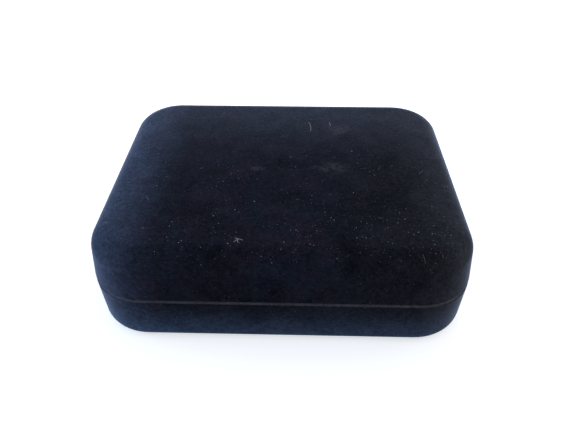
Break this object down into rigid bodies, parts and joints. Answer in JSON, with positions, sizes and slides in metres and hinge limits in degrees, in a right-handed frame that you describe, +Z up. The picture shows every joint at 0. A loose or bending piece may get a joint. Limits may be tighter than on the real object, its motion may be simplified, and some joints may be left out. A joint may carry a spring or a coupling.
{
  "type": "drafting instrument case",
  "caption": "Small velvet-covered hinged case with rounded edges, a snap-spring hinge, a padded satin lid and a fitted tray for bow drafting instruments.",
  "frame": {"origin": "middle of the underside of the closed case", "axes": "+X to the right along the case's width, the front faces -Y with the hinges at +Y, +Z up"},
  "size_m": [0.105, 0.0839, 0.031],
  "materials": {
    "velvet": "matte",
    "moulded_shell": "matte",
    "gilt_brass": "satin",
    "spring_steel": "satin",
    "card": "matte",
    "tray_flock": "matte",
    "wadding": "matte",
    "satin": "satin"
  },
  "bodies": {
    "base": {"base_covering": "velvet", "base_shell": "moulded_shell", "base_rim_frame": "gilt_brass", "base_hinge_leaf_left": "gilt_brass", "base_hinge_leaf_right": "gilt_brass", "base_hinge_rivets": "gilt_brass", "hinge_pin_left": "spring_steel", "hinge_pin_right": "spring_steel", "base_spring_pin": "spring_steel", "base_liner": "card", "base_floor_card": "card", "tray_board": "card", "tray_form": "tray_flock"},
    "lid": {"lid_covering": "velvet", "lid_shell": "moulded_shell", "lid_rim_frame": "gilt_brass", "lid_hinge_leaf_left": "gilt_brass", "lid_hinge_leaf_right": "gilt_brass", "lid_hinge_rivets": "gilt_brass", "lid_spring_pin": "spring_steel", "lid_liner": "card", "lid_board": "card", "lid_pad": "wadding", "lid_lining": "satin"},
    "spring": {"snap_spring": "spring_steel"}
  },
  "joints": [
    {"name": "lid_hinge", "type": "hinge", "parent": "base", "child": "lid", "pos_m": [0, 0.0404, 0.0159], "axis": [-1, 0, 0], "range_deg": [0, 100]},
    {"name": "spring_swing", "type": "hinge", "parent": "base", "child": "spring", "pos_m": [0, 0.0372, 0.00904], "axis": [-1, 0, 0], "range_deg": [0, 50], "deforming": ["snap_spring"]}
  ],
  "couplings": [
    {"joint": "spring_swing", "follows": "lid_hinge", "ratio": 0.5}
  ]
}
